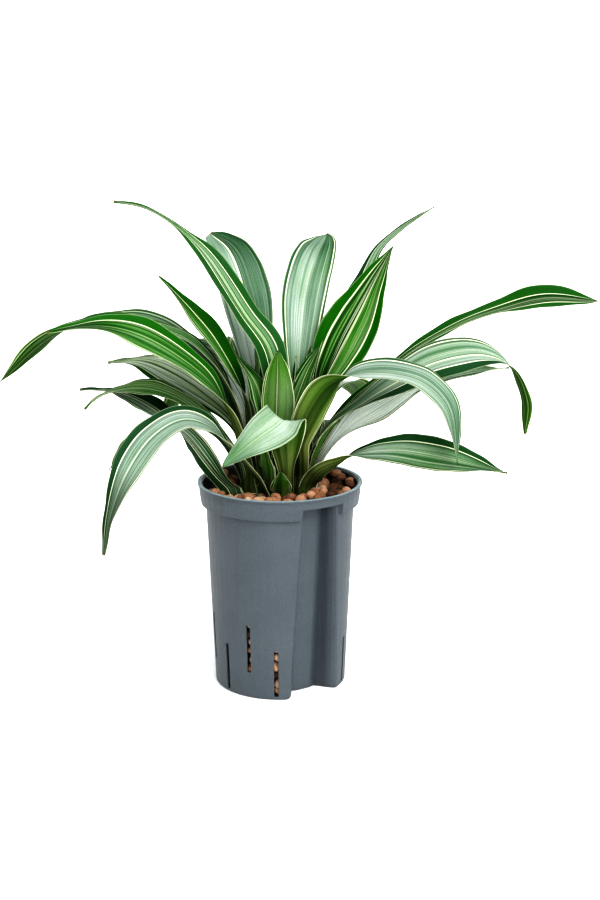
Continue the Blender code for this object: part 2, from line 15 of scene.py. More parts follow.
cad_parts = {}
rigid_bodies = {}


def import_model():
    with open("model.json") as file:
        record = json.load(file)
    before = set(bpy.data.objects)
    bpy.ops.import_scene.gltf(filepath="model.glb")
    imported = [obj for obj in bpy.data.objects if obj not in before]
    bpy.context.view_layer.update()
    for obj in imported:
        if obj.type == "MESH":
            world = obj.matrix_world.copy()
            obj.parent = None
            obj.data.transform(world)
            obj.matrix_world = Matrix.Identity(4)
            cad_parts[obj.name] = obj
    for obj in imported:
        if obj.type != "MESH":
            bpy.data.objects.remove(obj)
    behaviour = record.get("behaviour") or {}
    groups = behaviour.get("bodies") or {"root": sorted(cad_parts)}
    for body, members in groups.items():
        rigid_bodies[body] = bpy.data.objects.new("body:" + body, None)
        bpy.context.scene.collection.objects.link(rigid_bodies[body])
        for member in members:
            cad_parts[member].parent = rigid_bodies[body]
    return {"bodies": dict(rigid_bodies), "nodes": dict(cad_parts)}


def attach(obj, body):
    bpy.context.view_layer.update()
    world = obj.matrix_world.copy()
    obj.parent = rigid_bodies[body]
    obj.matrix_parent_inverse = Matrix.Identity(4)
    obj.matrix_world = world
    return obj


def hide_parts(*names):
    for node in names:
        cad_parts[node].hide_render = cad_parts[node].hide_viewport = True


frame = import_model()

MM = 0.001
BODY = next(iter(frame["bodies"]))
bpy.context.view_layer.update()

# Stems, as in the part
STEM_RADIUS = 11.5 * MM
STEM_TIP_RADIUS = 2.6 * MM
STEM_NECK_Z = 182 * MM
STEM_TOP_Z = 240 * MM
STEMS = {
    "left": (-24 * MM, 8 * MM),
    "right": (22 * MM, 6 * MM),
    "front": (1 * MM, -19 * MM),
}

# Leaves, as in the part, with more sections and strips
SEAT_GAP = 0.3 * MM
CAD_THICKNESS = 0.8 * MM
RIB_THICKNESS = 0.9 * MM
MARGIN_THICKNESS = 0.34 * MM
SECTIONS = 120
SHEATH_DROP = 24 * MM
SHEATH_LOWEST = 172 * MM
SHEATH_WRAP = 0.7
SHEATH_SHARE = 0.1
STRIPS = 30
CLASP_FOLD = 44
PETIOLE_SHARE = 0.14
BLADE_FOLD = 17
EDGE_WAVE = 1.2 * MM
EDGE_WAVE_TURNS = 3
EDGE_RIPPLE = 0.35 * MM
EDGE_RIPPLE_TURNS = 8
MIDRIB_DEPTH = 0.5 * MM
MIDRIB_SPREAD = 0.07
PLEAT_DEPTH = 0.1 * MM
PLEATS = 7

# Each leaf: stem, height and azimuth of its foot on the stem, blade width, bulge, roll of the blade about
# its midrib near the foot, in the middle and at the tip, then the midrib as (azimuth, reach, height) about
# the stem, in degrees and millimetres. A bulge above 1 sets the broad part further out.
LEAVES = {
    "leaf_left_hanging": ("front", 182, 172, 37, 1, (-25, 30, 5),
        [(175, 28, 203), (179, 49, 229), (183, 64, 246), (191, 88, 255), (198, 118, 244), (201, 142, 217),
         (203, 160, 180), (204, 168, 146)]),
    "leaf_left_low": ("left", 182, 240, 30, 0.7, (-50, 20, 0),
        [(232, 34, 187), (212, 36, 195), (198, 45, 210), (184, 58, 227), (172, 80, 243), (167, 105, 256),
         (166, 130, 264), (166, 166, 265)]),
    "leaf_left_lower_curl": ("left", 194, 186, 30, 1, (3, 15, 0),
        [(183, 16, 214), (180, 30, 233), (179, 58, 258), (178, 86, 271), (176, 115, 272), (175, 138, 265),
         (175, 155, 252)]),
    "leaf_left_short": ("left", 202, 116, 34, 1, (7, 35, 5),
        [(128, 17, 226), (145, 31, 247), (150, 58, 265), (151, 87, 278), (152, 118, 287), (152, 156, 284)]),
    "leaf_left_back_droop": ("left", 190, 98, 38, 1, (0, 0, 0),
        [(104, 22, 226), (114, 66, 264), (118, 130, 258), (120, 188, 208)]),
    "leaf_left_back_low": ("left", 186, 134, 34, 1, (0, 0, 0),
        [(137, 23, 203), (139, 42, 222), (142, 78, 234), (143, 128, 220), (144, 176, 172)]),
    "leaf_left_back_arch": ("left", 205, 55, 38, 1, (0, 0, 0),
        [(76, 16, 246), (90, 52, 290), (94, 112, 300), (96, 182, 252)]),
    "leaf_left_broad": ("left", 198, 230, 40, 1, (8, 42, 5),
        [(214, 24, 250), (209, 43, 283), (206, 72, 309), (205, 108, 331), (205, 142, 341), (206, 192, 340)]),
    "leaf_left_long": ("left", 214, 190, 36, 1.2, (1, 5, -50),
        [(180, 14, 250), (178, 24, 276), (177, 41, 303), (176, 66, 322), (176, 130, 334), (178, 180, 321),
         (180, 228, 280)]),
    "leaf_left_dark": ("left", 206, 156, 30, 1, (2, 30, 10),
        [(158, 21, 250), (160, 47, 290), (162, 95, 321), (163, 145, 330), (164, 190, 320)]),
    "leaf_left_bright": ("left", 221, 235, 21, 1, (8, 40, 5),
        [(205, 9, 268), (170, 33, 316), (160, 58, 341), (158, 92, 371)]),
    "leaf_left_pale": ("left", 211, 92, 32, 1, (4, 20, 0),
        [(108, 16, 248), (121, 36, 277), (131, 66, 298), (138, 118, 310)]),
    "leaf_left_upright": ("left", 218, 60, 48, 1.3, (0, 0, 0),
        [(64, 13, 262), (88, 20, 315), (104, 37, 360), (110, 66, 391), (116, 92, 404)]),
    "leaf_left_heart": ("left", 226, 350, 20, 1, (0, 0, 0),
        [(0, 5, 265), (20, 6, 300), (40, 8, 325)]),
    "leaf_right_low": ("right", 184, -70, 36, 1.3, (35, -45, -5),
        [(-60, 27, 202), (-38, 39, 211), (-29, 51, 218), (-27, 88, 226), (-26, 126, 225), (-25, 193, 215)]),
    "leaf_right_pale": ("right", 192, 4, 36, 1, (-9, -45, -5),
        [(8, 18, 208), (8, 40, 236), (9, 76, 260), (10, 100, 271), (12, 150, 282), (13, 196, 284)]),
    "leaf_right_sliver": ("right", 196, -50, 18, 1, (-4, -20, 0),
        [(-48, 18, 218), (-46, 30, 238), (-44, 44, 252)]),
    "leaf_right_arching": ("right", 194, -112, 42, 0.85, (-3, -15, 0),
        [(-99, 27, 215), (-97, 39, 232), (-88, 46, 251), (-79, 48, 267), (-66, 52, 284), (-54, 59, 293),
         (-44, 72, 298), (-36, 100, 299), (-34, 125, 293), (-32, 145, 273), (-31, 154, 222)]),
    "leaf_right_hooked": ("right", 211, -14, 38, 1, (-10, -50, 45),
        [(-10, 24, 240), (-9, 53, 262), (-8, 84, 282), (-7, 118, 300), (-6, 160, 307), (-6, 183, 298),
         (-6, 198, 268), (-6, 199, 236)]),
    "leaf_right_long": ("right", 203, 34, 36, 2, (4, -8, -38),
        [(22, 42, 252), (16, 74, 280), (15, 98, 301), (14, 150, 328), (13, 184, 339), (13, 230, 348),
         (13, 283, 343)]),
    "leaf_right_back_droop": ("right", 190, 92, 38, 1, (0, 0, 0),
        [(74, 24, 222), (70, 62, 260), (68, 122, 256), (66, 186, 206)]),
    "leaf_right_back_arch": ("right", 199, 122, 38, 1, (0, 0, 0),
        [(106, 22, 240), (100, 52, 284), (96, 112, 297), (92, 182, 258)]),
    "leaf_right_back_low": ("right", 185, 38, 34, 1, (0, 0, 0),
        [(46, 22, 202), (62, 42, 218), (75, 78, 227), (82, 122, 210), (84, 158, 168)]),
    "leaf_right_behind": ("right", 215, 62, 20, 0.9, (-4, -20, 0),
        [(50, 16, 250), (39, 54, 340), (43, 76, 364), (47, 99, 387),
         (48, 117, 397), (48, 143, 408), (48, 191, 423)]),
    "leaf_right_upright": ("right", 223, -25, 45, 1, (-7, -58, -30),
        [(-18, 11, 262), (-4, 31, 306), (2, 50, 343), (4, 66, 376), (5, 80, 402)]),
    "leaf_centre_upright": ("right", 219, 140, 43, 1.3, (0, 0, 0),
        [(122, 10, 262), (102, 17, 310), (88, 34, 354), (80, 62, 386), (77, 98, 402)]),
    "leaf_right_heart": ("right", 229, 40, 18, 1, (0, 0, 0),
        [(40, 5, 262), (40, 6, 290), (40, 8, 312)]),
    "leaf_front_scale": ("front", 182, -90, 19, 0.5, (0, 0, 0),
        [(-90, 15, 191), (-90, 18, 200), (-90, 20, 208)]),
    "leaf_front_dark": ("front", 187, 212, 20, 0.6, (0, 0, 0),
        [(219, 16, 204), (225, 20, 218), (230, 25, 232)]),
    "leaf_front_folded": ("front", 190, -62, 38, 0.85, (4, 18, 12),
        [(-74, 19, 213), (-80, 24, 237), (-83, 29, 253), (-86, 34, 258), (-97, 40, 254), (-117, 50, 242),
         (-136, 70, 220)]),
    "leaf_front_left_arch": ("front", 199, 160, 28, 1, (4, 20, 5),
        [(160, 15, 240), (160, 23, 280), (160, 42, 306)]),
    "leaf_front_right_young": ("front", 200, 68, 24, 1, (-4, -20, 0),
        [(54, 15, 245), (30, 24, 285), (18, 40, 320)]),
    "leaf_front_rising": ("front", 210, 105, 33, 0.8, (4, 20, 0),
        [(115, 9, 262), (140, 13, 312), (160, 33, 343), (163, 76, 403), (163, 120, 433), (163, 155, 440)]),
    "leaf_front_inner": ("front", 214, -4, 18, 1, (0, 0, 0),
        [(-4, 8, 250), (2, 12, 285), (12, 14, 308)]),
    "leaf_front_young": ("front", 206, -112, 31, 1, (0, 0, 0),
        [(-112, 11, 240), (-108, 10, 280), (-104, 9, 315)]),
}

WIDTH_STOPS = (0, 0.18, 0.34, 0.5, 0.64, 0.78, 0.89, 0.96, 1)
WIDTH_SHARES = (0.42, 0.43, 0.7, 0.97, 1, 0.78, 0.48, 0.22, 0.03)
# Leaves with their own widths: long thin ends, blunt tips, and two broader blades
OWN_WIDTHS = {
    "leaf_front_rising": ((0, 0.18, 0.34, 0.5, 0.64, 0.72, 0.8, 0.93, 1),
                          (0.42, 0.43, 0.75, 1, 1, 0.78, 0.42, 0.3, 0.03)),
    "leaf_right_hooked": ((0, 0.18, 0.34, 0.5, 0.62, 0.7, 0.78, 0.93, 1),
                          (0.42, 0.43, 0.72, 1, 0.95, 0.62, 0.38, 0.32, 0.03)),
    "leaf_right_pale": ((0, 0.18, 0.3, 0.4, 0.48, 0.56, 0.7, 0.9, 1),
                        (0.42, 0.62, 0.92, 1, 0.8, 0.52, 0.36, 0.3, 0.03)),
    "leaf_left_upright": ((0, 0.18, 0.34, 0.5, 0.64, 0.8, 0.91, 0.97, 1),
                          (0.42, 0.45, 0.72, 0.95, 1, 0.92, 0.68, 0.38, 0.05)),
    "leaf_right_upright": ((0, 0.18, 0.34, 0.5, 0.64, 0.78, 0.89, 0.96, 1),
                           (0.42, 0.55, 0.95, 1.24, 1.16, 0.76, 0.44, 0.2, 0.03)),
    "leaf_right_behind": ((0, 0.18, 0.34, 0.46, 0.56, 0.68, 0.8, 0.93, 1),
                          (0.42, 0.5, 0.85, 1.1, 0.95, 0.55, 0.36, 0.28, 0.16)),
    "leaf_left_dark": ((0, 0.18, 0.34, 0.5, 0.64, 0.78, 0.89, 0.96, 1),
                       (0.42, 0.55, 0.95, 1.25, 1.3, 0.95, 0.55, 0.22, 0.03)),
    "leaf_centre_upright": ((0, 0.18, 0.34, 0.5, 0.64, 0.8, 0.91, 0.97, 1),
                            (0.42, 0.5, 0.76, 0.95, 1, 0.9, 0.66, 0.36, 0.05)),
}
# Leaves that go into the clay a little off their stem
ASIDE = {"leaf_left_low": 22 * MM}
ROLL_STOPS = (0.08, 0.14, 0.4, 0.62, 1)
# Leaves that turn at other places along them
OWN_TURNS = {
    "leaf_left_low": (0.05, 0.34, 0.6, 0.7, 1),
    "leaf_right_hooked": (0.08, 0.14, 0.4, 0.66, 0.84),
}
# Heights over which the leaves' feet in the crown are painted in shade
CROWN_SHADE_LOW_Z = 186 * MM
CROWN_SHADE_TOP_Z = 226 * MM
FOLD_STOPS = (0, 0.1, 0.3, 0.55, 1)
FOLD_SHARES = (1, 0.82, 0.36, 0.08, 0)

# Look of each leaf: milk is how pale the middle is, fresh how bright its green is, streaks how strong the
# stripes are, left and right the green margins' share of the half width, rib how strong the cream midrib
# is, the seventh value how much paler the right half is than the left one (partly painted light on the lit
# half of the folded blade, partly the halves' own tone), deep how dark the margins are, and alike how
# far the underside looks like the upper side
LOOKS = {
    "leaf_left_hanging": (0.74, -0.05, 0.45, 0.06, 0.34, 0.3, 0, 0.35, 0.3),
    "leaf_left_low": (0.5, 0.1, 1.2, 0.08, 0.75, 0.3, -0.1, 0.6, 1),
    "leaf_left_lower_curl": (0.52, 0.9, 0.8, 0.2, 0.1, 0.3, 0, 0.6, 0.9),
    "leaf_left_short": (0.98, 1, 1.2, 0.3, 0.1, 0.3, 0.1, 0.5, 0.9),
    "leaf_left_back_droop": (0.6, 0.3, 0.5, 0.2, 0.25, 0.3, 0.0, 0.5, 0.2),
    "leaf_left_back_low": (0.45, 0.3, 0.5, 0.25, 0.2, 0.4, 0.0, 0.6, 0.2),
    "leaf_left_back_arch": (0.75, 0.3, 0.4, 0.15, 0.2, 0.2, 0.0, 0.3, 0.2),
    "leaf_left_broad": (0.26, 0.8, 0.5, 0.06, 0.4, 0.15, -0.05, 0.2, 0),
    "leaf_left_long": (0.3, 0.6, 0.5, 0.2, 0.25, 0.4, 0, 0.5, 0.5),
    "leaf_left_dark": (0.22, 0.05, 0.25, 0.2, 0.12, 0.2, 0.2, 0.5, 1),
    "leaf_left_bright": (0.42, 0.9, 0.35, 0.1, 0.96, 0.9, 0.0, 0.3, 0.2),
    "leaf_left_pale": (1.6, 0.1, 0.9, 0.1, 0.1, 0.2, 0, 0.3, 1),
    "leaf_left_upright": (0.9, -0.25, 0.25, 0, 0, 1, -0.42, 0.4, 0.5),
    "leaf_left_heart": (0.3, 0.9, 0.4, 0.2, 0.2, 0.6, 0.0, 0.5, 0.2),
    "leaf_right_low": (0.6, 0.2, 0.4, 0.36, 0.06, 0.2, 0, 0.6, 0),
    "leaf_right_pale": (1.6, 0.1, 0.9, 0.06, 0.06, 0.2, 0, 0.3, 1),
    "leaf_right_sliver": (0.35, 0.6, 0.5, 0.35, 0.1, 0.6, 0.0, 0.8, 0.3),
    "leaf_right_arching": (0.78, -0.15, 0.45, 0.12, 0.06, 0.15, 0, 0.25, 0),
    "leaf_right_hooked": (0.74, 0.1, 0.45, 0.11, 0.56, 0.7, 0, 0.4, 0.1),
    "leaf_right_long": (0.2, 0.7, 0.35, 0.62, 0.5, 0.1, -0.1, 0.5, 0.2),
    "leaf_right_back_droop": (0.7, 0.3, 0.4, 0.15, 0.2, 0.3, 0.0, 0.4, 0.2),
    "leaf_right_back_arch": (0.5, 0.4, 0.6, 0.25, 0.2, 0.3, 0.0, 0.6, 0.2),
    "leaf_right_back_low": (0.45, 0.3, 0.5, 0.2, 0.2, 0.3, 0.0, 0.6, 0.2),
    "leaf_right_behind": (0.6, 0.05, 0.5, 0.5, 0.3, 0.3, 0, 0.9, 0.3),
    "leaf_right_upright": (0.3, 1, 0.75, 0.36, 0.32, 0.5, 0.15, 0.4, 0.2),
    "leaf_centre_upright": (0.72, 0.05, 0.4, 0.14, 0.08, 0.1, 0, 0.1, 0.6),
    "leaf_right_heart": (0.3, 0.9, 0.5, 0.2, 0.2, 0.7, 0.0, 0.4, 0.2),
    "leaf_front_scale": (0.15, 0.1, 0.5, 0.2, 0.2, 0.2, 0, 0.8, 0),
    "leaf_front_dark": (0.2, 0.7, 0.5, 0.1, 0.3, 0.4, 0.2, 0.5, 0.2),
    "leaf_front_folded": (0.8, 0.3, 0.25, 0, 0, 0.1, 0, 0.2, 0),
    "leaf_front_left_arch": (0.3, 0.8, 0.5, 0.3, 0.2, 0.5, 0.0, 0.7, 0.2),
    "leaf_front_right_young": (0.3, 0.9, 0.5, 0.3, 0.2, 0.6, 0.0, 0.6, 0.2),
    "leaf_front_rising": (0.38, 0.4, 0.55, 0.62, 0.44, 0.2, 0, 0.3, 0.2),
    "leaf_front_inner": (0.25, 0.8, 0.4, 0.2, 0.2, 0.6, 0.0, 0.5, 0.2),
    "leaf_front_young": (0.72, 1, 0.12, 0, 0.1, 1, 0, 0.3, 0.3),
}

# Clay pellets
INNER_RADIUS = 69.8 * MM
BED_TOP = 179 * MM
BED_SLOPE = 0.03
BED_SINK = 4.5 * MM
BED_SINK_RADII = (30 * MM, 50 * MM)
FRONT_MOUND = 4 * MM
FLUTE_ANGLE = -57
FLUTE_HALF = 20
FLUTE_DEPTH = 19.3 * MM
FLUTE_ROOF_Z = 182.6 * MM
ROOF_PELLETS = (4.2 * MM, 5.6 * MM)
TOP_SEED = 11
TOP_TRIES = 9000
PELLET_SIZES = (4.6 * MM, 7.8 * MM)
SLIT_FIRST = 36.5
SLIT_COUNT = 13
SLIT_PITCH = (360 - 2 * SLIT_FIRST) / (SLIT_COUNT - 1)
SLIT_HEIGHTS = ((3.6 * MM, 47 * MM), (25 * MM, 70 * MM))

RIM_TOP = 190 * MM
BASE_RADIUS = 60 * MM
WALL_TOP_RADIUS = 67.5 * MM

# Camera, fitted to the pot's rim, base and flanks in the photo
CAMERA_PLACE = (0, -1.5, 0.5836)
CAMERA_PITCH = 13.69
CAMERA_YAW = 0.7
CAMERA_LENS = 68.12
SENSOR = 36

# Studio: a floor that sweeps up into a wall behind the plant
SWEEP_START = 6
SWEEP_RADIUS = 1.5
SWEEP_HEIGHT = 6


def mix(low, high, share):
    return low + (high - low) * share


def smooth_step(value):
    value = np.clip(value, 0, 1)
    return value * value * (3 - 2 * value)


def soft_curve(share, stops, values):
    """A smooth curve through the values, read at each share."""
    stops, values = np.array(stops, float), np.array(values, float)
    slopes = np.gradient(values, stops)
    i = np.clip(np.searchsorted(stops, share, side="right") - 1, 0, len(stops) - 2)
    span = stops[i + 1] - stops[i]
    s = (share - stops[i]) / span
    return ((2 * s**3 - 3 * s**2 + 1) * values[i] + (s**3 - 2 * s**2 + s) * span * slopes[i]
            + (3 * s**2 - 2 * s**3) * values[i + 1] + (s**3 - s**2) * span * slopes[i + 1])


def stem_radius(z):
    if z <= STEM_NECK_Z:
        return STEM_RADIUS
    return mix(STEM_RADIUS, STEM_TIP_RADIUS, (z - STEM_NECK_Z) / (STEM_TOP_Z - STEM_NECK_Z))


def smooth_path(stops, count, start):
    """Even places along the smooth curve through the stops, with the curve's direction and share at each.

    The share is 0 at the stop numbered start and 1 at the last one.
    """
    stops = np.array(stops)
    steps = np.linalg.norm(np.diff(stops, axis=0), axis=1) ** 0.5
    knots = np.concatenate([[0], np.cumsum(steps)])
    runs = np.gradient(stops, knots, axis=0)
    fine = []
    for i in range(len(stops) - 1):
        span = knots[i + 1] - knots[i]
        for s in np.linspace(0, 1, 80, endpoint=i == len(stops) - 2):
            fine.append((2 * s**3 - 3 * s**2 + 1) * stops[i] + (s**3 - 2 * s**2 + s) * span * runs[i]
                        + (3 * s**2 - 2 * s**3) * stops[i + 1] + (s**3 - s**2) * span * runs[i + 1])
    fine = np.array(fine)
    far = np.concatenate([[0], np.cumsum(np.linalg.norm(np.diff(fine, axis=0), axis=1))])
    even = np.linspace(0, far[-1], count)
    places = np.stack([np.interp(even, far, fine[:, k]) for k in range(3)], axis=1)
    runs = np.gradient(places, even, axis=0)
    begin = far[start * 80]
    share = (even - begin) / (far[-1] - begin)
    return places, runs / np.linalg.norm(runs, axis=1)[:, None], share


def leaf_midrib(stem, foot_z, foot_azimuth, route, aside):
    """The midrib's stops: the sheath down the stem, then the part's own stops from the foot outwards.

    Aside is how far off the stem the sheath goes into the clay.
    """
    x, y = STEMS[stem]
    foot_reach = stem_radius(foot_z * MM) + SEAT_GAP + CAD_THICKNESS
    bottom = max(foot_z * MM - SHEATH_DROP, SHEATH_LOWEST)
    stops = []
    for share in (0, 0.5):
        z = mix(bottom, foot_z * MM, share)
        reach = stem_radius(z) + SEAT_GAP + CAD_THICKNESS / 2
        stops.append((foot_azimuth, reach + aside * mix(0.3, 1, share), z))
    sheath = len(stops)
    stops.append((foot_azimuth, foot_reach + aside, foot_z * MM))
    stops += [(azimuth, reach * MM, z * MM) for azimuth, reach, z in route]
    placed = []
    for azimuth, reach, z in stops:
        turn = math.radians(azimuth)
        placed.append((x + reach * math.cos(turn), y + reach * math.sin(turn), z))
    return placed, sheath, foot_reach


def leaf_roll(rolls, turns, share):
    """The blade's roll at each share of its length, in radians."""
    foot, middle, tip = rolls
    settled, start, end, last, full = turns
    roll = mix(foot * smooth_step(share / settled), middle, smooth_step((share - start) / (end - start)))
    return np.radians(mix(roll, tip, smooth_step((share - last) / (full - last))))


def leaf_faces(stem, foot_z, foot_azimuth, width, bulge, rolls, route, profile, turns, aside, chance):
    """Upper and lower face of a leaf, as grids of points, with the places across and along it."""
    stops, sheath, foot_reach = leaf_midrib(stem, foot_z, foot_azimuth, route, aside)
    places, runs, run_share = smooth_path(stops, SECTIONS + 1, sheath)
    share = np.clip(run_share, 0, 1)
    start = math.radians(foot_azimuth)
    side = np.array([math.sin(start), -math.cos(start), 0])
    axis = np.array([*STEMS[stem], 0])
    out = places - axis
    out[:, 2] = 0
    level = np.cross(out / np.linalg.norm(out, axis=1)[:, None], (0, 0, 1))
    guide = mix(side, level, smooth_step(share * 3)[:, None])
    across = guide - runs * (guide * runs).sum(axis=1)[:, None]
    across /= np.linalg.norm(across, axis=1)[:, None]
    up = np.cross(across, runs)
    spin = leaf_roll(rolls, turns, share)[:, None]
    across, up = across * np.cos(spin) + up * np.sin(spin), up * np.cos(spin) - across * np.sin(spin)
    clasp = math.radians(CLASP_FOLD)
    half = width * MM / 2 * soft_curve(share**bulge, *profile)
    half = mix(foot_reach * clasp, half, smooth_step(share / PETIOLE_SHARE))
    fold = mix(math.radians(BLADE_FOLD), clasp, np.interp(share, FOLD_STOPS, FOLD_SHARES))
    wrap = 1 + SHEATH_WRAP * smooth_step(-run_share / SHEATH_SHARE)
    fold, half = fold * wrap, half * wrap
    curve = (half / fold)[:, None]
    lean = np.linspace(-1, 1, STRIPS + 1)[None, :]
    lean = np.sign(lean) * np.abs(lean) ** 0.9
    bend = lean * fold[:, None]
    along = share[:, None]
    open_share = smooth_step(2 * along)
    calm = min(1, (width / 30) ** 2)
    wave = EDGE_WAVE * calm * lean**2 * np.sin(math.tau * EDGE_WAVE_TURNS * along + 2 * lean) * open_share
    phase = chance.uniform(0, math.tau)
    turns = EDGE_RIPPLE_TURNS * chance.uniform(0.8, 1.2)
    wave += EDGE_RIPPLE * calm * lean**4 * np.sin(math.tau * turns * along + phase + 3 * lean) * open_share
    wave -= MIDRIB_DEPTH * np.exp(-((lean / MIDRIB_SPREAD) ** 2)) * (1 - 0.7 * along)
    wave += PLEAT_DEPTH * np.cos(math.pi * PLEATS * lean + phase) * (1 - lean**4) * open_share
    lift = (curve * (1 - np.cos(bend)) + wave)[:, :, None]
    shift = (curve * np.sin(bend))[:, :, None]
    middle = places[:, None] + across[:, None] * shift + up[:, None] * lift
    face = up[:, None] * np.cos(bend)[:, :, None] - across[:, None] * np.sin(bend)[:, :, None]
    thick = mix(MARGIN_THICKNESS, RIB_THICKNESS, (1 - lean**2) * (1 - 0.6 * along))[:, :, None]
    lean = np.broadcast_to(lean, wave.shape)
    along = np.broadcast_to(along, wave.shape)
    return middle + face * thick / 2, middle - face * thick / 2, lean, along


def leaf(name, number, look):
    """A fine leaf in place of the part's one."""
    chance = random.Random(number)
    profile = OWN_WIDTHS.get(name, (WIDTH_STOPS, WIDTH_SHARES))
    turns = OWN_TURNS.get(name, ROLL_STOPS)
    upper, lower, lean, along = leaf_faces(*LEAVES[name], profile, turns, ASIDE.get(name, 0), chance)
    rows, wide = SECTIONS + 1, STRIPS + 1
    points = np.concatenate([upper.reshape(-1, 3), lower.reshape(-1, 3)])
    under = rows * wide
    faces = []
    for i in range(rows - 1):
        for k in range(wide - 1):
            a = i * wide + k
            faces.append((a, a + 1, a + wide + 1, a + wide))
            faces.append((under + a, under + a + wide, under + a + wide + 1, under + a + 1))
    loop = [k for k in range(wide)]
    loop += [i * wide + wide - 1 for i in range(1, rows)]
    loop += [(rows - 1) * wide + k for k in range(wide - 2, -1, -1)]
    loop += [i * wide for i in range(rows - 2, 0, -1)]
    for i, a in enumerate(loop):
        b = loop[(i + 1) % len(loop)]
        faces.append((b, a, under + a, under + b))
    mesh = bpy.data.meshes.new(name + "_blade")
    mesh.from_pydata(points.tolist(), [], faces)
    seed = np.full(lean.size, 3.7 * number + 0.5)
    spot = np.stack([lean.ravel(), along.ravel(), seed], axis=1)
    store = mesh.attributes.new("blade", "FLOAT_VECTOR", "POINT")
    store.data.foreach_set("vector", np.concatenate([spot, spot]).ravel())
    store = mesh.attributes.new("under", "FLOAT", "POINT")
    store.data.foreach_set("value", np.concatenate([np.zeros(under), np.ones(under)]))
    milk, fresh, streaks, left, right, rib, fold_light_and_tone, deep, alike = LOOKS[name]
    for label, values in (("tone", (milk, fresh, streaks)), ("bands", (left, right, deep)),
                          ("halves", (rib, fold_light_and_tone, alike))):
        store = mesh.attributes.new(label, "FLOAT_VECTOR", "POINT")
        store.data.foreach_set("vector", np.tile(np.array(values, float), 2 * under))
    mesh.shade_smooth()
    mesh.set_sharp_from_angle(angle=math.radians(55))
    mesh.materials.append(look)
    made = bpy.data.objects.new(name + "_blade", mesh)
    bpy.context.scene.collection.objects.link(made)
    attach(made, BODY)
    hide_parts(name)
    return made


class Graph:
    """Short ways to add and join a material's nodes."""

    def __init__(self, name):
        self.made = bpy.data.materials.new(name)
        self.made.use_nodes = True
        self.nodes = self.made.node_tree.nodes
        self.links = self.made.node_tree.links
        self.shader = self.nodes["Principled BSDF"]

    def put(self, socket, value):
        if isinstance(value, bpy.types.NodeSocket):
            self.links.new(value, socket)
        elif value is not None:
            socket.default_value = value

    def math(self, operation, first, second=None, third=None):
        node = self.nodes.new("ShaderNodeMath")
        node.operation = operation
        for socket, value in zip(node.inputs, (first, second, third)):
            self.put(socket, value)
        return node.outputs[0]

    def blend(self, share, first, second, kind="MIX"):
        node = self.nodes.new("ShaderNodeMix")
        node.data_type = "RGBA"
        node.blend_type = kind
        self.put(node.inputs["Factor"], share)
        colours = [s for s in node.inputs if s.type == "RGBA"]
        for socket, value in zip(colours, (first, second)):
            if isinstance(value, tuple):
                value = (*value, 1)
            self.put(socket, value)
        return next(s for s in node.outputs if s.type == "RGBA")

    def step(self, value, low, high):
        """0 below low, 1 above high, smooth between them; high below low turns it round."""
        node = self.nodes.new("ShaderNodeMapRange")
        node.interpolation_type = "SMOOTHSTEP"
        self.put(node.inputs["Value"], value)
        turned = not isinstance(low, bpy.types.NodeSocket) and low > high
        first, second = (high, low) if turned else (low, high)
        self.put(node.inputs["From Min"], first)
        self.put(node.inputs["From Max"], second)
        node.inputs["To Min"].default_value = 1 if turned else 0
        node.inputs["To Max"].default_value = 0 if turned else 1
        return node.outputs["Result"]

    def place(self, x, y, z):
        node = self.nodes.new("ShaderNodeCombineXYZ")
        for socket, value in zip(node.inputs, (x, y, z)):
            self.put(socket, value)
        return node.outputs[0]

    def noise(self, where, scale, detail=2.0, roughness=0.5):
        node = self.nodes.new("ShaderNodeTexNoise")
        self.links.new(where, node.inputs["Vector"])
        node.inputs["Scale"].default_value = scale
        node.inputs["Detail"].default_value = detail
        node.inputs["Roughness"].default_value = roughness
        return node.outputs["Fac"]

    def attribute(self, name):
        node = self.nodes.new("ShaderNodeAttribute")
        node.attribute_name = name
        return node

    def parts(self, name):
        node = self.nodes.new("ShaderNodeSeparateXYZ")
        self.links.new(self.attribute(name).outputs["Vector"], node.inputs[0])
        return node.outputs

    def both(self, first, second):
        return self.math("MULTIPLY", first, second)

    def rest(self, value):
        return self.math("SUBTRACT", 1.0, value)

    def position(self):
        return self.nodes.new("ShaderNodeNewGeometry").outputs["Position"]

    def ramp(self, value, stops):
        node = self.nodes.new("ShaderNodeValToRGB")
        self.put(node.inputs["Fac"], value)
        line = node.color_ramp
        while len(line.elements) < len(stops):
            line.elements.new(0.5)
        for element, (at, colour) in zip(line.elements, stops):
            element.position = at
            element.color = (*colour, 1)
        return node.outputs["Color"]

    def bump(self, height, distance, strength=1.0, below=None):
        node = self.nodes.new("ShaderNodeBump")
        self.links.new(height, node.inputs["Height"])
        node.inputs["Distance"].default_value = distance
        node.inputs["Strength"].default_value = strength
        if below is not None:
            self.links.new(below, node.inputs["Normal"])
        return node.outputs["Normal"]


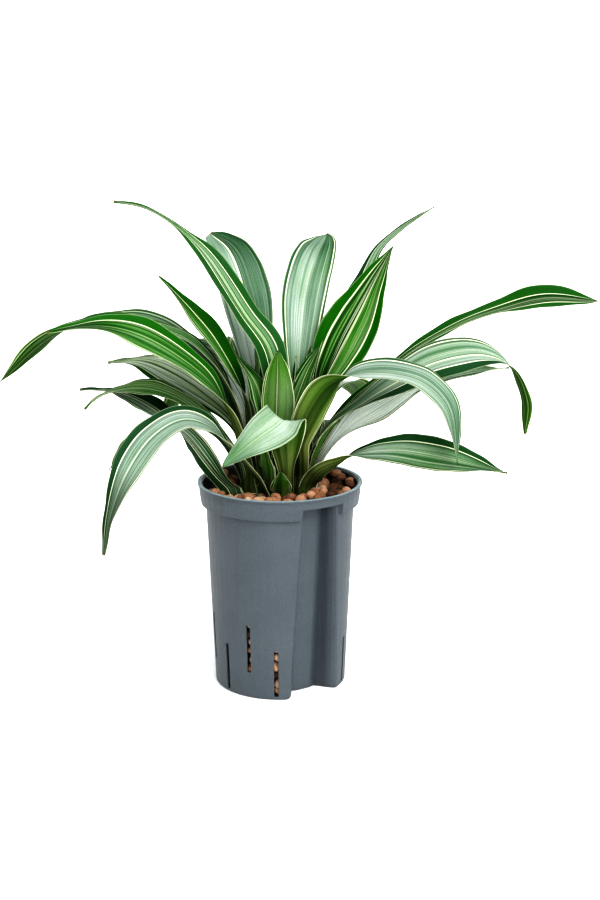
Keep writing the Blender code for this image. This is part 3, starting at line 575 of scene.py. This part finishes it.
def leaf_material():
    """Lengthwise stripes: green margins, a cream line inside each, and a streaked middle."""
    g = Graph("striped_leaf_blades")
    across, along, seed = g.parts("blade")
    milk, fresh, streaks = g.parts("tone")
    left, right, deep = g.parts("bands")
    rib, fold_light_and_tone, alike = g.parts("halves")
    under = g.attribute("under").outputs["Fac"]
    aside = g.math("ABSOLUTE", across)
    on_right = g.step(across, -0.02, 0.02)

    # Slow wobble that keeps the stripes from running dead straight
    drift = g.noise(g.place(g.both(across, 1.2), g.both(along, 2.4), seed), 1.0)
    shifted = g.math("MULTIPLY_ADD", g.math("SUBTRACT", drift, 0.5), 0.14, across)
    broad = g.noise(g.place(g.both(shifted, 3.0), g.both(along, 0.6), seed), 1.0, 1.0)
    narrow = g.noise(g.place(g.both(shifted, 9.0), g.both(along, 1.1), seed), 1.0, 1.0)
    other = g.noise(g.place(g.both(shifted, 13.0), g.both(along, 0.9), g.math("ADD", seed, 40.0)), 1.0, 1.0)
    fine = g.noise(g.place(g.both(shifted, 19.0), g.both(along, 0.8), g.math("ADD", seed, 80.0)), 1.0, 1.0)
    bloom = g.noise(g.place(g.both(across, 0.6), g.both(along, 3.5), g.math("ADD", seed, 20.0)), 1.0, 2.0)
    veins = g.noise(g.place(g.both(shifted, 46.0), g.both(along, 5.0), seed), 1.0, 3.0)
    flecks = g.noise(g.position(), 900.0, 2.0, 0.7)

    # Middle: from leaf green through grey-green to nearly white
    stripe = g.math("MULTIPLY_ADD", g.math("SUBTRACT", broad, 0.5), 1.6, g.both(g.math("SUBTRACT", narrow, 0.5), 0.7))
    stripe = g.math("MULTIPLY_ADD", g.step(narrow, 0.46, 0.54), 0.2, g.math("SUBTRACT", stripe, 0.1))
    pale = g.math("MULTIPLY_ADD", stripe, streaks, milk)
    # Paler right half: partly painted light on the lit half of the folded blade, partly the halves' own tone
    pale = g.math("MULTIPLY_ADD", on_right, fold_light_and_tone, pale)
    pale = g.math("SUBTRACT", pale, g.both(g.step(along, 0.45, 0.05), 0.28))
    pale = g.math("MULTIPLY_ADD", g.math("SUBTRACT", bloom, 0.5), 0.5, pale)
    pale = g.math("SUBTRACT", pale, g.both(g.step(along, 0.7, 0.94), 0.32))
    # The palest leaves turn green towards their ends
    beyond = g.math("MAXIMUM", g.math("SUBTRACT", milk, 1.0), 0.0)
    pale = g.math("SUBTRACT", pale, g.both(g.step(along, 0.45, 0.7), g.both(beyond, 1.7)))
    shown = g.both(pale, 0.8)
    bright = g.ramp(shown, [(0.0, (0.004, 0.04, 0.001)), (0.2, (0.02, 0.11, 0.006)), (0.4, (0.07, 0.18, 0.032)),
                            (0.6, (0.175, 0.255, 0.13)), (0.8, (0.32, 0.39, 0.26)), (1.0, (0.6, 0.66, 0.61))])
    dull = g.ramp(shown, [(0.0, (0.005, 0.028, 0.011)), (0.2, (0.028, 0.075, 0.036)), (0.4, (0.085, 0.145, 0.098)),
                          (0.6, (0.185, 0.25, 0.2)), (0.8, (0.34, 0.38, 0.36)), (1.0, (0.8, 0.86, 0.83))])
    livid = g.math("MULTIPLY_ADD", g.math("SUBTRACT", 0.5, bloom), 0.8, fresh)
    middle = g.blend(livid, dull, bright)
    lines = g.both(g.step(other, 0.62, 0.68), g.both(streaks, 0.8))
    middle = g.blend(lines, middle, (0.45, 0.5, 0.36))
    furrows = g.both(g.step(other, 0.38, 0.3), g.both(streaks, 0.7))
    middle = g.blend(furrows, middle, (0.008, 0.036, 0.006))
    wisp = g.blend(livid, (0.38, 0.42, 0.35), (0.26, 0.4, 0.16))
    middle = g.blend(g.both(g.step(fine, 0.58, 0.66), g.both(streaks, 0.7)), middle, wisp)
    middle = g.blend(g.both(g.step(fine, 0.42, 0.34), g.both(streaks, 0.6)), middle, (0.02, 0.075, 0.022))

    # Margins, with a cream line along their inner side and a dark one beside it
    wander = g.both(g.math("SUBTRACT", drift, 0.5), 0.2)
    width = g.math("MULTIPLY_ADD", on_right, g.math("SUBTRACT", right, left), left)
    in_margin = g.math("SUBTRACT", g.math("ADD", aside, wander), g.rest(width))
    light = g.blend(livid, (0.026, 0.078, 0.034), (0.012, 0.108, 0.0015))
    shade = g.blend(livid, (0.004, 0.022, 0.01), (0.002, 0.034, 0.0005))
    band = g.blend(deep, light, shade)
    band = g.blend(g.both(g.step(veins, 0.3, 0.7), 0.35), band, light)
    colour = g.blend(g.step(in_margin, -0.01, 0.015), middle, band)
    beside = g.rest(g.step(g.math("ABSOLUTE", g.math("ADD", in_margin, 0.11)), 0.02, 0.06))
    colour = g.blend(g.both(beside, 0.45), colour, (0.008, 0.036, 0.005))
    line = g.rest(g.step(g.math("ABSOLUTE", g.math("ADD", in_margin, 0.03)), 0.014, 0.034))
    line = g.both(line, g.math("MULTIPLY_ADD", g.step(other, 0.3, 0.5), 0.6, 0.4))
    line = g.both(line, g.step(width, 0.02, 0.06))
    colour = g.blend(line, colour, (0.6, 0.62, 0.46))

    # Midrib: a cream line in the groove
    centre = g.rest(g.step(aside, 0.02, 0.045))
    colour = g.blend(g.both(centre, rib), colour, (0.72, 0.73, 0.52))

    # Underside and the clasping foot are olive, streaked too
    soft = g.step(broad, 0.35, 0.65)
    olive = g.blend(soft, (0.036, 0.052, 0.011), (0.12, 0.148, 0.05))
    lush = g.blend(soft, (0.016, 0.056, 0.004), (0.06, 0.13, 0.02))
    back = g.blend(g.step(along, 0.12, 0.5), olive, lush)
    back = g.blend(g.both(line, 0.7), back, (0.4, 0.43, 0.26))
    channel = g.rest(g.step(aside, 0.0, 0.22))
    back = g.blend(g.both(channel, 0.5), back, (0.007, 0.02, 0.003))
    back = g.blend(alike, back, colour)
    colour = g.blend(under, colour, back)
    foot = g.both(g.step(along, 0.22, 0.02), g.rest(g.both(line, 0.8)))
    foot = g.both(foot, g.rest(g.both(alike, 0.7)))
    colour = g.blend(g.both(foot, 0.75), colour, olive)

    # Painted shade: the feet stand close together low in the crown and are painted darker towards the clay, less on
    # their cream lines
    spot = g.nodes.new("ShaderNodeSeparateXYZ")
    g.links.new(g.position(), spot.inputs[0])
    low = g.step(spot.outputs["Z"], CROWN_SHADE_TOP_Z, CROWN_SHADE_LOW_Z)
    colour = g.blend(g.both(low, g.math("MULTIPLY_ADD", line, -0.4, 0.5)), colour, (0.006, 0.012, 0.002))

    # Thin pale edge and a dry tip
    hair = g.both(g.step(aside, 0.94, 0.97), g.step(along, 1.0, 0.96))
    shown_edge = g.math("MAXIMUM", g.both(under, 0.8), g.math("MULTIPLY_ADD", g.step(along, 0.35, 0.15), 0.5, 0.2))
    colour = g.blend(g.both(hair, shown_edge), colour, (0.58, 0.6, 0.42))
    tip = g.both(g.step(along, 0.985, 0.999), 0.7)
    colour = g.blend(tip, colour, (0.1, 0.07, 0.025))

    # Fine veins and cells
    grain = g.math("MULTIPLY_ADD", g.math("SUBTRACT", veins, 0.5), 0.5, 1.0)
    grain = g.math("MULTIPLY_ADD", g.math("SUBTRACT", flecks, 0.5), 0.5, grain)
    colour = g.blend(1.0, colour, g.place(grain, grain, grain), "MULTIPLY")

    g.links.new(colour, g.shader.inputs["Base Color"])
    rough = g.math("MULTIPLY_ADD", under, 0.14, g.math("MULTIPLY_ADD", veins, 0.14, 0.4))
    g.links.new(rough, g.shader.inputs["Roughness"])
    g.shader.inputs["Specular IOR Level"].default_value = 0.06
    height = g.math("MULTIPLY_ADD", veins, 0.7, g.both(flecks, 0.3))
    g.links.new(g.bump(height, 0.00025, 0.5), g.shader.inputs["Normal"])
    return g.made


def pot_material():
    """Matte moulded plastic, blue-grey, with a fine grain and faint scuffs, a painted highlight on the rim's top and
    painted shade in the flute's far corner.
    """
    g = Graph("pot_plastic")
    where = g.position()
    grain = g.noise(where, 2200.0, 3.0, 0.7)
    cloud = g.noise(where, 28.0, 3.0)
    scuff = g.noise(where, 240.0, 5.0, 0.75)
    colour = g.ramp(cloud, [(0.25, (0.055, 0.067, 0.077)), (0.75, (0.066, 0.079, 0.089))])
    spot = g.nodes.new("ShaderNodeSeparateXYZ")
    g.links.new(where, spot.inputs[0])
    # Painted highlight: the rim's top is lighter and bluer, standing in for the lip catching the light
    rim_painted_highlight = g.step(spot.outputs["Z"], RIM_TOP - 0.4 * MM, RIM_TOP - 0.05 * MM)
    colour = g.blend(rim_painted_highlight, colour, (0.2, 0.26, 0.28))
    # Painted shade: the flute's far corner, deep in the recess, is darkened
    x, y, z = spot.outputs
    reach = g.math("POWER", g.math("ADD", g.both(x, x), g.both(y, y)), 0.5)
    outside = g.math("MULTIPLY_ADD", z, (WALL_TOP_RADIUS - BASE_RADIUS) / RIM_TOP, BASE_RADIUS)
    sunk = g.step(g.math("SUBTRACT", outside, reach), 2 * MM, 13 * MM)
    flute_painted_shade = g.both(sunk, g.step(g.math("MULTIPLY_ADD", x, 1.19, y), -2 * MM, 9 * MM))
    colour = g.blend(g.both(flute_painted_shade, 0.5), colour, (0.012, 0.018, 0.023))
    mottle = g.noise(where, 750.0, 2.0, 0.6)
    tone = g.math("MULTIPLY_ADD", g.math("SUBTRACT", grain, 0.5), 0.35, 1.0)
    tone = g.math("MULTIPLY_ADD", g.math("SUBTRACT", mottle, 0.5), 0.5, tone)
    tone = g.math("MULTIPLY_ADD", g.step(scuff, 0.62, 0.78), 0.16, tone)
    colour = g.blend(1.0, colour, g.place(tone, tone, tone), "MULTIPLY")
    g.links.new(colour, g.shader.inputs["Base Color"])
    g.links.new(g.math("MULTIPLY_ADD", scuff, 0.2, 0.42), g.shader.inputs["Roughness"])
    g.shader.inputs["Specular IOR Level"].default_value = 0.4
    g.links.new(g.bump(grain, 0.0002, 0.35), g.shader.inputs["Normal"])
    return g.made


def clay_material():
    """Fired clay: each pellet its own orange-brown, with pores and dusty high spots."""
    g = Graph("fired_clay_pellets")
    where = g.position()
    tint = g.attribute("tint").outputs["Fac"]
    patch = g.noise(where, 130.0, 4.0, 0.6)
    pores = g.noise(where, 900.0, 4.0, 0.75)
    tone = g.math("MULTIPLY_ADD", g.math("SUBTRACT", patch, 0.5), 0.7, tint)
    colour = g.ramp(tone, [(0.0, (0.035, 0.018, 0.01)), (0.25, (0.15, 0.072, 0.04)),
                           (0.5, (0.28, 0.15, 0.09)), (0.75, (0.42, 0.26, 0.17)), (1.0, (0.58, 0.43, 0.32))])
    dark = g.step(pores, 0.48, 0.3)
    colour = g.blend(g.both(dark, 0.6), colour, (0.035, 0.018, 0.01))
    g.links.new(colour, g.shader.inputs["Base Color"])
    g.shader.inputs["Roughness"].default_value = 0.9
    g.shader.inputs["Specular IOR Level"].default_value = 0.25
    g.links.new(g.bump(pores, 0.0009, 0.8), g.shader.inputs["Normal"])
    return g.made


def cane_material():
    """Green cane wrapped in old leaf sheaths: streaks up and down, with pale sheath edges."""
    g = Graph("green_cane_sheaths")
    spot = g.nodes.new("ShaderNodeSeparateXYZ")
    g.links.new(g.position(), spot.inputs[0])
    x, y, z = spot.outputs
    streak = g.noise(g.place(g.both(x, 420.0), g.both(y, 420.0), g.both(z, 26.0)), 1.0, 2.0)
    edge = g.noise(g.place(g.both(x, 150.0), g.both(y, 150.0), g.both(z, 30.0)), 1.0, 0.0)
    colour = g.ramp(streak, [(0.3, (0.02, 0.045, 0.008)), (0.7, (0.075, 0.12, 0.03))])
    pale = g.rest(g.step(g.math("ABSOLUTE", g.math("SUBTRACT", edge, 0.5)), 0.006, 0.02))
    colour = g.blend(g.both(pale, 0.8), colour, (0.36, 0.4, 0.22))
    g.links.new(colour, g.shader.inputs["Base Color"])
    g.shader.inputs["Roughness"].default_value = 0.55
    g.shader.inputs["Specular IOR Level"].default_value = 0.25
    g.links.new(g.bump(streak, 0.0008, 0.6), g.shader.inputs["Normal"])
    return g.made


def floor_material():
    g = Graph("pale_floor")
    cloud = g.noise(g.position(), 3.0, 2.0)
    g.links.new(g.ramp(cloud, [(0.3, (0.87, 0.87, 0.87)), (0.7, (0.9, 0.9, 0.9))]), g.shader.inputs["Base Color"])
    g.shader.inputs["Roughness"].default_value = 0.85
    g.shader.inputs["Specular IOR Level"].default_value = 0.1
    return g.made


def unit_ball(level):
    body = bmesh.new()
    bmesh.ops.create_icosphere(body, subdivisions=level, radius=1)
    points = np.array([v.co for v in body.verts])
    faces = [tuple(v.index for v in f.verts) for f in body.faces]
    body.free()
    return points, faces


def pellet(ball, radius, chance):
    """One fired pellet: an uneven lump with a few flat breaks."""
    points = ball.copy()
    points *= np.array([1, chance.uniform(0.78, 1), chance.uniform(0.68, 0.92)])
    for _ in range(5):
        away = Vector((chance.gauss(0, 1), chance.gauss(0, 1), chance.gauss(0, 1))).normalized()
        over = np.clip(points @ np.array(away) - chance.uniform(0.62, 0.86), 0, None)
        points -= over[:, None] * np.array(away) * 0.8
    shift = Vector((chance.uniform(0, 90), chance.uniform(0, 90), chance.uniform(0, 90)))
    swell = [1 + 0.12 * noise.noise(Vector(p) * 1.6 + shift) + 0.045 * noise.noise(Vector(p) * 5 + shift)
             for p in points]
    points *= np.array(swell)[:, None] * radius
    turn = Matrix.Rotation(chance.uniform(0, math.tau), 3, Vector((chance.gauss(0, 1), chance.gauss(0, 1), 1)))
    return points @ np.array(turn).T


def pellets_mesh(name, level, spots, look, chance):
    """One object of all the pellets at the spots, each (x, y, z, radius)."""
    ball, shape = unit_ball(level)
    points, faces, tints = [], [], []
    for x, y, z, radius in spots:
        base = len(points) * len(ball)
        points.append(pellet(ball, radius, chance) + np.array([x, y, z]))
        faces += [tuple(base + i for i in face) for face in shape]
        tints += [min(max(chance.gauss(0.5, 0.3), 0.05), 1.0)] * len(ball)
    mesh = bpy.data.meshes.new(name)
    mesh.from_pydata(np.concatenate(points).tolist(), [], faces)
    store = mesh.attributes.new("tint", "FLOAT", "POINT")
    store.data.foreach_set("value", tints)
    mesh.shade_smooth()
    mesh.materials.append(look)
    made = bpy.data.objects.new(name, mesh)
    bpy.context.scene.collection.objects.link(made)
    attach(made, BODY)
    return made


def inner_reach(angle):
    """How far a pellet's outer side may go at an angle round the pot, near the top."""
    off = (math.degrees(angle) - FLUTE_ANGLE + 180) % 360 - 180
    return INNER_RADIUS - FLUTE_DEPTH * (1 - smooth_step((abs(off) - FLUTE_HALF) / 8))


def top_spots(chance):
    """Pellets of the top layer, larger ones first, clear of the stems and the wall."""
    spots = []
    for attempt in range(TOP_TRIES):
        radius = mix(PELLET_SIZES[1], PELLET_SIZES[0], attempt / TOP_TRIES) * chance.uniform(0.9, 1)
        turn = chance.uniform(0, math.tau)
        reach = INNER_RADIUS * math.sqrt(chance.random())
        x, y = reach * math.cos(turn), reach * math.sin(turn)
        on_roof = reach + radius > inner_reach(turn)
        if on_roof:
            radius = mix(*ROOF_PELLETS, chance.random())
        if reach + radius > INNER_RADIUS:
            continue
        if any(math.hypot(x - sx, y - sy) < STEM_RADIUS + 0.6 * radius for sx, sy in STEMS.values()):
            continue
        if any(math.hypot(x - px, y - py) < 0.84 * (radius + other) for px, py, pz, other in spots):
            continue
        near, far = BED_SINK_RADII
        sink = BED_SINK * (1 - smooth_step((reach - near) / (far - near)))
        mound = FRONT_MOUND * smooth_step((-y / MM - 20) / 16)
        z = BED_TOP + BED_SLOPE * x - sink + mound + chance.uniform(-0.6, 1.8) * MM - (radius - PELLET_SIZES[0]) / 3
        if on_roof:
            z = FLUTE_ROOF_Z + 0.8 * radius
        spots.append((x, y, z, radius))
    return spots


def side_spots(chance):
    """Pellets that show through the slits."""
    spots = []
    for i in range(SLIT_COUNT):
        turn = math.radians(FLUTE_ANGLE + SLIT_FIRST + SLIT_PITCH * i)
        from_flute = min(i, SLIT_COUNT - 1 - i)
        foot, head = SLIT_HEIGHTS[from_flute % 2]
        z = foot + 2 * MM
        while z < head + 3 * MM:
            radius = chance.uniform(4.2, 5.4) * MM
            wall = mix(60, 67.5, z / (170 * MM)) * MM - 1.6 * MM
            reach = wall - radius - chance.uniform(-0.3, 1.4) * MM
            aside = chance.uniform(-1.5, 1.5) * MM
            x = reach * math.cos(turn) - aside * math.sin(turn)
            y = reach * math.sin(turn) + aside * math.cos(turn)
            spots.append((x, y, max(z, 3.5 * MM + radius), radius))
            z += radius * 1.75
    return spots


def clay_core(look):
    """The inside of the bed, painted dark as the shade among the pellets below, seen only in the gaps between
    pellets.
    """
    levels = [(3.8, 50), (60, 53), (120, 55.5), (168, 58), (174, 55)]
    sides = 48
    points, faces = [], []
    for z, reach in levels:
        for k in range(sides):
            turn = math.tau * k / sides
            near = inner_reach(turn) / INNER_RADIUS
            points.append((reach * near * MM * math.cos(turn), reach * near * MM * math.sin(turn), z * MM))
    for level in range(len(levels) - 1):
        for k in range(sides):
            j = (k + 1) % sides
            low, high = level * sides, (level + 1) * sides
            faces.append((low + k, low + j, high + j, high + k))
    faces.append(tuple(reversed(range(sides))))
    faces.append(tuple(range(len(points) - sides, len(points))))
    mesh = bpy.data.meshes.new("clay_core")
    mesh.from_pydata(points, [], faces)
    store = mesh.attributes.new("tint", "FLOAT", "POINT")
    # Painted shade: the core takes the darkest pellet tint
    store.data.foreach_set("value", [0.05] * len(points))
    mesh.materials.append(look)
    made = bpy.data.objects.new("clay_core", mesh)
    bpy.context.scene.collection.objects.link(made)
    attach(made, BODY)
    return made


def make_clay():
    look = clay_material()
    chance = random.Random(TOP_SEED)
    top = pellets_mesh("clay_top_pellets", 3, top_spots(chance), look, chance)
    pellets_mesh("clay_side_pellets", 2, side_spots(chance), look, chance)
    clay_core(look)
    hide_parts("clay_bed")


def make_leaves():
    look = leaf_material()
    for number, name in enumerate(LEAVES):
        leaf(name, number, look)


def dress_frame():
    """Better materials on the part's own pot and stems."""
    plastic, cane = pot_material(), cane_material()
    for name, node in frame["nodes"].items():
        if name == "pot":
            node.data.materials[0] = plastic
        elif name.startswith("stem_"):
            node.data.materials[0] = cane


def soft_sun(name, place, strength, spread, colour):
    """A wide soft lamp that lights the floor evenly, aimed from the place at the plant."""
    data = bpy.data.lights.new(name, "SUN")
    data.energy = strength
    data.angle = math.radians(spread)
    data.color = colour
    made = bpy.data.objects.new(name, data)
    made.location = place
    made.rotation_euler = (Vector((0, 0, 0.2)) - Vector(place)).to_track_quat("-Z", "Y").to_euler()
    bpy.context.scene.collection.objects.link(made)


def make_studio():
    """A floor that sweeps up into a back wall, an even white surround and two soft suns."""
    line = [(-6, 0), (SWEEP_START, 0)]
    for i in range(1, 13):
        turn = math.pi / 2 * i / 12
        line.append((SWEEP_START + SWEEP_RADIUS * math.sin(turn), SWEEP_RADIUS * (1 - math.cos(turn))))
    line.append((SWEEP_START + SWEEP_RADIUS, SWEEP_HEIGHT))
    points = [(x, y, z) for y, z in line for x in (-12, 12)]
    faces = [(2 * i, 2 * i + 1, 2 * i + 3, 2 * i + 2) for i in range(len(line) - 1)]
    mesh = bpy.data.meshes.new("floor")
    mesh.from_pydata(points, [], faces)
    mesh.shade_smooth()
    mesh.materials.append(floor_material())
    floor = bpy.data.objects.new("floor", mesh)
    bpy.context.scene.collection.objects.link(floor)
    world = bpy.data.worlds.new("studio")
    bpy.context.scene.world = world
    world.use_nodes = True
    world.node_tree.nodes["Background"].inputs["Color"].default_value = (1, 1, 1, 1)
    world.node_tree.nodes["Background"].inputs["Strength"].default_value = 0.8
    soft_sun("key", (0.9, -2.1, 1.7), 2.3, 36, (1, 1, 0.98))
    soft_sun("top", (0.3, -0.4, 2.2), 0.9, 60, (0.97, 0.99, 1))
    soft_sun("fill", (-0.2, -2.2, 0.1), 0.6, 60, (1, 1, 1))
    bpy.context.scene.view_settings.view_transform = "Standard"
    bpy.context.scene.view_settings.look = "Very High Contrast"


def make_camera():
    data = bpy.data.cameras.new("camera")
    data.lens = CAMERA_LENS
    data.sensor_width = SENSOR
    camera = bpy.data.objects.new("camera", data)
    camera.location = CAMERA_PLACE
    camera.rotation_euler = (math.radians(90 - CAMERA_PITCH), 0, math.radians(-CAMERA_YAW))
    bpy.context.scene.collection.objects.link(camera)
    bpy.context.scene.camera = camera


make_camera()
make_studio()
dress_frame()
make_clay()
make_leaves()

bpy.context.view_layer.update()
